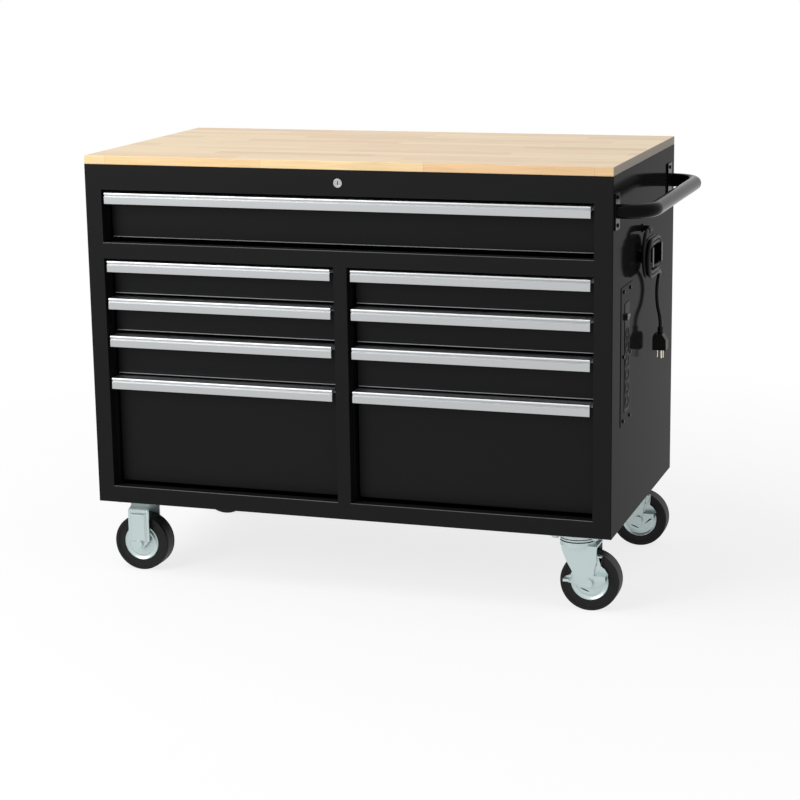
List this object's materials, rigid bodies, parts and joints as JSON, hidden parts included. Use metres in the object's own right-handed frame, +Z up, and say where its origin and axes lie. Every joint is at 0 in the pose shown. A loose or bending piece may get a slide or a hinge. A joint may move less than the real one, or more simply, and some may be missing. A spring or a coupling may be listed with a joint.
{
  "type": "rolling tool cabinet",
  "caption": "Steel rolling tool cabinet with a wooden worktop, sliding drawers with aluminium pulls, a push handle, a side power strip and rigid and swivel casters.",
  "frame": {"origin": "on the floor, under the middle of the whole outline, push handle included", "axes": "+X to the right, towards the push handle; +Y to the back; +Z up"},
  "size_m": [1.2522, 0.6248, 0.9398],
  "materials": {
    "wood": "satin clear lacquer",
    "black_steel": "semi-gloss black powder coat",
    "gloss_black_steel": "gloss black powder coat",
    "pull_aluminium": "satin anodised",
    "slide_steel": "zinc plated",
    "lock_metal": "bright nickel plate",
    "strip_plastic": "fine matt",
    "switch_plastic": "gloss",
    "caster_zinc": "bright zinc plate",
    "wheel_rubber": "moulded, slight sheen",
    "cord_jacket": "soft flexible jacket"
  },
  "bodies": {
    "cabinet": {"wood_top": "wood", "left_side_panel": "gloss_black_steel", "right_side_panel": "gloss_black_steel", "back_panel": "black_steel", "bottom_panel": "black_steel", "front_frame": "black_steel", "center_partition": "black_steel", "slide_cabinet_members": "slide_steel", "lock_barrel": "lock_metal", "push_handle": "black_steel", "panel_screws": "black_steel", "power_plate": "black_steel", "power_strip": "strip_plastic", "reset_button": "switch_plastic", "caster_bolts": "caster_zinc", "rigid_caster_forks": "caster_zinc", "swivel_top_plates": "caster_zinc", "cord_cleats": "black_steel", "cord_strain_relief": "cord_jacket", "cord_lead": "cord_jacket", "cord_hank": "cord_jacket", "cord_tail": "cord_jacket", "power_plug": "cord_jacket"},
    "lock_plug": {"lock_plug": "lock_metal"},
    "rocker": {"rocker_switch": "switch_plastic"},
    "front_swivel": {"front_swivel_fork": "caster_zinc"},
    "rear_swivel": {"rear_swivel_fork": "caster_zinc"},
    "front_brake": {"front_brake_lever": "caster_zinc"},
    "rear_brake": {"rear_brake_lever": "caster_zinc"},
    "rigid_front_wheel_body": {"rigid_front_wheel": "wheel_rubber"},
    "rigid_rear_wheel_body": {"rigid_rear_wheel": "wheel_rubber"},
    "swivel_front_wheel_body": {"swivel_front_wheel": "wheel_rubber"},
    "swivel_rear_wheel_body": {"swivel_rear_wheel": "wheel_rubber"},
    "top_drawer": {"top_tray": "black_steel", "top_pull": "pull_aluminium"},
    "top_slide_middle": {"top_slide_middles": "slide_steel"},
    "left_upper_drawer": {"left_upper_tray": "black_steel", "left_upper_pull": "pull_aluminium"},
    "left_upper_slide_middle": {"left_upper_slide_middles": "slide_steel"},
    "left_middle_drawer": {"left_middle_tray": "black_steel", "left_middle_pull": "pull_aluminium"},
    "left_middle_slide_middle": {"left_middle_slide_middles": "slide_steel"},
    "left_lower_drawer": {"left_lower_tray": "black_steel", "left_lower_pull": "pull_aluminium"},
    "left_lower_slide_middle": {"left_lower_slide_middles": "slide_steel"},
    "left_bottom_drawer": {"left_bottom_tray": "black_steel", "left_bottom_pull": "pull_aluminium"},
    "left_bottom_slide_middle": {"left_bottom_slide_middles": "slide_steel"},
    "right_upper_drawer": {"right_upper_tray": "black_steel", "right_upper_pull": "pull_aluminium"},
    "right_upper_slide_middle": {"right_upper_slide_middles": "slide_steel"},
    "right_middle_drawer": {"right_middle_tray": "black_steel", "right_middle_pull": "pull_aluminium"},
    "right_middle_slide_middle": {"right_middle_slide_middles": "slide_steel"},
    "right_lower_drawer": {"right_lower_tray": "black_steel", "right_lower_pull": "pull_aluminium"},
    "right_lower_slide_middle": {"right_lower_slide_middles": "slide_steel"},
    "right_bottom_drawer": {"right_bottom_tray": "black_steel", "right_bottom_pull": "pull_aluminium"},
    "right_bottom_slide_middle": {"right_bottom_slide_middles": "slide_steel"}
  },
  "joints": [
    {"name": "top_drawer_slide", "type": "slide", "parent": "cabinet", "child": "top_drawer", "axis": [0, -1, 0], "range_m": [0, 0.5]},
    {"name": "top_middle_slide", "type": "slide", "parent": "cabinet", "child": "top_slide_middle", "axis": [0, -1, 0], "range_m": [0, 0.25]},
    {"name": "left_upper_drawer_slide", "type": "slide", "parent": "cabinet", "child": "left_upper_drawer", "axis": [0, -1, 0], "range_m": [0, 0.5]},
    {"name": "left_upper_middle_slide", "type": "slide", "parent": "cabinet", "child": "left_upper_slide_middle", "axis": [0, -1, 0], "range_m": [0, 0.25]},
    {"name": "left_middle_drawer_slide", "type": "slide", "parent": "cabinet", "child": "left_middle_drawer", "axis": [0, -1, 0], "range_m": [0, 0.5]},
    {"name": "left_middle_middle_slide", "type": "slide", "parent": "cabinet", "child": "left_middle_slide_middle", "axis": [0, -1, 0], "range_m": [0, 0.25]},
    {"name": "left_lower_drawer_slide", "type": "slide", "parent": "cabinet", "child": "left_lower_drawer", "axis": [0, -1, 0], "range_m": [0, 0.5]},
    {"name": "left_lower_middle_slide", "type": "slide", "parent": "cabinet", "child": "left_lower_slide_middle", "axis": [0, -1, 0], "range_m": [0, 0.25]},
    {"name": "left_bottom_drawer_slide", "type": "slide", "parent": "cabinet", "child": "left_bottom_drawer", "axis": [0, -1, 0], "range_m": [0, 0.5]},
    {"name": "left_bottom_middle_slide", "type": "slide", "parent": "cabinet", "child": "left_bottom_slide_middle", "axis": [0, -1, 0], "range_m": [0, 0.25]},
    {"name": "right_upper_drawer_slide", "type": "slide", "parent": "cabinet", "child": "right_upper_drawer", "axis": [0, -1, 0], "range_m": [0, 0.5]},
    {"name": "right_upper_middle_slide", "type": "slide", "parent": "cabinet", "child": "right_upper_slide_middle", "axis": [0, -1, 0], "range_m": [0, 0.25]},
    {"name": "right_middle_drawer_slide", "type": "slide", "parent": "cabinet", "child": "right_middle_drawer", "axis": [0, -1, 0], "range_m": [0, 0.5]},
    {"name": "right_middle_middle_slide", "type": "slide", "parent": "cabinet", "child": "right_middle_slide_middle", "axis": [0, -1, 0], "range_m": [0, 0.25]},
    {"name": "right_lower_drawer_slide", "type": "slide", "parent": "cabinet", "child": "right_lower_drawer", "axis": [0, -1, 0], "range_m": [0, 0.5]},
    {"name": "right_lower_middle_slide", "type": "slide", "parent": "cabinet", "child": "right_lower_slide_middle", "axis": [0, -1, 0], "range_m": [0, 0.25]},
    {"name": "right_bottom_drawer_slide", "type": "slide", "parent": "cabinet", "child": "right_bottom_drawer", "axis": [0, -1, 0], "range_m": [0, 0.5]},
    {"name": "right_bottom_middle_slide", "type": "slide", "parent": "cabinet", "child": "right_bottom_slide_middle", "axis": [0, -1, 0], "range_m": [0, 0.25]},
    {"name": "lock_turn", "type": "hinge", "parent": "cabinet", "child": "lock_plug", "pos_m": [-0.0434, -0.3099, 0.894], "axis": [0, 1, 0], "range_deg": [0, 90]},
    {"name": "rocker_tilt", "type": "hinge", "parent": "cabinet", "child": "rocker", "pos_m": [0.5425, -0.18975, 0.6155], "axis": [0, 0, 1], "range_deg": [-8, 8]},
    {"name": "front_swivel_turn", "type": "hinge", "parent": "cabinet", "child": "front_swivel", "pos_m": [0.4611, -0.26125, 0.145], "axis": [0, 0, 1], "continuous": true},
    {"name": "rear_swivel_turn", "type": "hinge", "parent": "cabinet", "child": "rear_swivel", "pos_m": [0.4611, 0.23675, 0.145], "axis": [0, 0, 1], "continuous": true},
    {"name": "front_brake_tilt", "type": "hinge", "parent": "front_swivel", "child": "front_brake", "pos_m": [0.4901, -0.29125, 0.0635], "axis": [0, 1, 0], "range_deg": [0, 15]},
    {"name": "rear_brake_tilt", "type": "hinge", "parent": "rear_swivel", "child": "rear_brake", "pos_m": [0.4901, 0.20675, 0.0635], "axis": [0, 1, 0], "range_deg": [0, 15]},
    {"name": "rigid_front_wheel_spin", "type": "hinge", "parent": "cabinet", "child": "rigid_front_wheel_body", "pos_m": [-0.5479, -0.24775, 0.0635], "axis": [0, 1, 0], "continuous": true},
    {"name": "rigid_rear_wheel_spin", "type": "hinge", "parent": "cabinet", "child": "rigid_rear_wheel_body", "pos_m": [-0.5479, 0.23725, 0.0635], "axis": [0, 1, 0], "continuous": true},
    {"name": "swivel_front_wheel_spin", "type": "hinge", "parent": "front_swivel", "child": "swivel_front_wheel_body", "pos_m": [0.4901, -0.26125, 0.0635], "axis": [0, 1, 0], "continuous": true},
    {"name": "swivel_rear_wheel_spin", "type": "hinge", "parent": "rear_swivel", "child": "swivel_rear_wheel_body", "pos_m": [0.4901, 0.23675, 0.0635], "axis": [0, 1, 0], "continuous": true}
  ],
  "couplings": [
    {"joint": "top_middle_slide", "follows": "top_drawer_slide", "ratio": 0.5},
    {"joint": "left_upper_middle_slide", "follows": "left_upper_drawer_slide", "ratio": 0.5},
    {"joint": "left_middle_middle_slide", "follows": "left_middle_drawer_slide", "ratio": 0.5},
    {"joint": "left_lower_middle_slide", "follows": "left_lower_drawer_slide", "ratio": 0.5},
    {"joint": "left_bottom_middle_slide", "follows": "left_bottom_drawer_slide", "ratio": 0.5},
    {"joint": "right_upper_middle_slide", "follows": "right_upper_drawer_slide", "ratio": 0.5},
    {"joint": "right_middle_middle_slide", "follows": "right_middle_drawer_slide", "ratio": 0.5},
    {"joint": "right_lower_middle_slide", "follows": "right_lower_drawer_slide", "ratio": 0.5},
    {"joint": "right_bottom_middle_slide", "follows": "right_bottom_drawer_slide", "ratio": 0.5}
  ]
}
